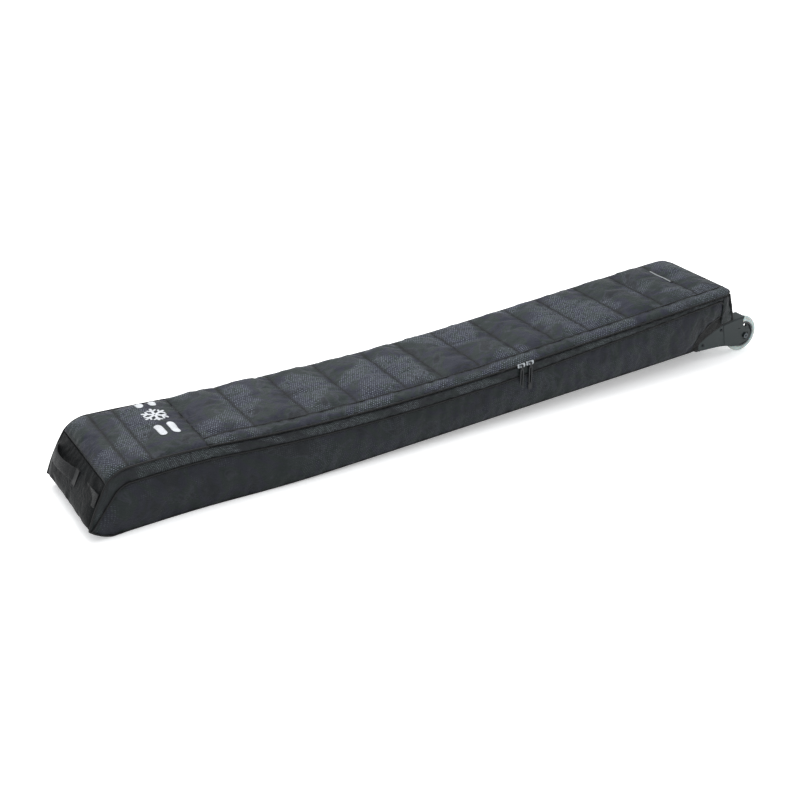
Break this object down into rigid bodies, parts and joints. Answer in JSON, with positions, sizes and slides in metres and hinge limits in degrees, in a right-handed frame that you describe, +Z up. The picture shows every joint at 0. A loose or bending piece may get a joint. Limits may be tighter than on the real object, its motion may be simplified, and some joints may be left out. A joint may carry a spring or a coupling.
{
  "type": "ski bag",
  "caption": "Long padded ski bag with a quilted lid zipped along its front edge, inline wheels in moulded housings under the tail, and a grab handle on each end.",
  "frame": {"origin": "on the floor under the middle of the length and width", "axes": "+X from the head end to the wheels, +Y from the zip side to the hinge side, +Z up"},
  "size_m": [2.0963, 0.3174, 0.2178],
  "materials": {
    "shell_fabric": "matte",
    "quilt_fabric": "matte",
    "lining_fabric": "matte",
    "padding": "matte",
    "webbing": "matte",
    "piping": "satin",
    "zip_coil": "satin",
    "slider_metal": "satin",
    "pull_rubber": "matte",
    "buckle_plastic": "satin",
    "board_plastic": "satin",
    "housing_plastic": "satin",
    "tread": "gloss",
    "hub_plastic": "gloss",
    "bearing_steel": "satin",
    "bolt_steel": "satin",
    "label": "matte"
  },
  "bodies": {
    "tub": {"bottom_panel": "shell_fabric", "front_side_panel": "shell_fabric", "back_side_panel": "shell_fabric", "head_end_panel": "shell_fabric", "front_gusset": "shell_fabric", "tail_end_panel": "shell_fabric", "wheel_well_panel_front": "shell_fabric", "wheel_well_panel_back": "shell_fabric", "hood_panel": "quilt_fabric", "fixed_top_section": "quilt_fabric", "floor_foam": "padding", "head_end_foam": "padding", "wall_foam_front": "padding", "wall_foam_back": "padding", "ski_strap_head": "webbing", "ski_strap_tail": "webbing", "head_handle_sleeve": "webbing", "head_handle_strap": "webbing", "tail_handle": "webbing", "zip_tape_lower": "webbing", "lower_piping_front": "piping", "head_piping_front": "piping", "head_piping_back": "piping", "arch_binding_front": "piping", "arch_binding_back": "piping", "zip_coil_lower": "zip_coil", "zip_coil_fixed": "zip_coil", "strap_buckles": "buckle_plastic", "handle_keeper": "buckle_plastic", "base_board": "board_plastic", "wheel_housing_front": "housing_plastic", "wheel_housing_back": "housing_plastic", "tail_tray": "housing_plastic", "housing_screws": "bolt_steel", "axle_bolts": "bolt_steel", "axle_nuts": "bolt_steel", "axle_spacers": "bolt_steel"},
    "lid": {"lid_panel": "quilt_fabric", "lid_lining": "lining_fabric", "lid_flap": "quilt_fabric", "lid_tail_section": "quilt_fabric", "lid_back_piping": "piping", "zip_coil_upper": "zip_coil", "zip_tape_upper": "webbing", "label_tab": "label"},
    "wheel_front": {"tyre_front": "tread", "hub_front": "hub_plastic", "bearings_front": "bearing_steel"},
    "wheel_back": {"tyre_back": "tread", "hub_back": "hub_plastic", "bearings_back": "bearing_steel"},
    "slider_left": {"slider_left": "slider_metal"},
    "pull_left": {"pull_left": "pull_rubber"},
    "slider_right": {"slider_right": "slider_metal"},
    "pull_right": {"pull_right": "pull_rubber"}
  },
  "joints": [
    {"name": "lid_hinge", "type": "hinge", "parent": "tub", "child": "lid", "pos_m": [0.302, 0.1535, 0.17], "axis": [-0.9985, 0, -0.0549], "range_deg": [0, 115]},
    {"name": "wheel_front_spin", "type": "hinge", "parent": "tub", "child": "wheel_front", "pos_m": [0.993, -0.1225, 0.055], "axis": [0, 1, 0], "continuous": true},
    {"name": "wheel_back_spin", "type": "hinge", "parent": "tub", "child": "wheel_back", "pos_m": [0.993, 0.1225, 0.055], "axis": [0, 1, 0], "continuous": true},
    {"name": "slider_left_travel", "type": "hinge", "parent": "tub", "child": "slider_left", "pos_m": [-0.292, -0.1535, 7.06], "axis": [0, 1, 0], "range_deg": [0, 7.21]},
    {"name": "slider_right_travel", "type": "slide", "parent": "tub", "child": "slider_right", "axis": [0.998, 0, 0.0636], "range_m": [0, 0.67]},
    {"name": "pull_left_swing", "type": "hinge", "parent": "slider_left", "child": "pull_left", "pos_m": [0.161, -0.1592, 0.16034], "axis": [-1, 0, 0], "range_deg": [0, 160]},
    {"name": "pull_right_swing", "type": "hinge", "parent": "slider_right", "child": "pull_right", "pos_m": [0.189, -0.1592, 0.16213], "axis": [-1, 0, 0], "range_deg": [0, 160]}
  ]
}
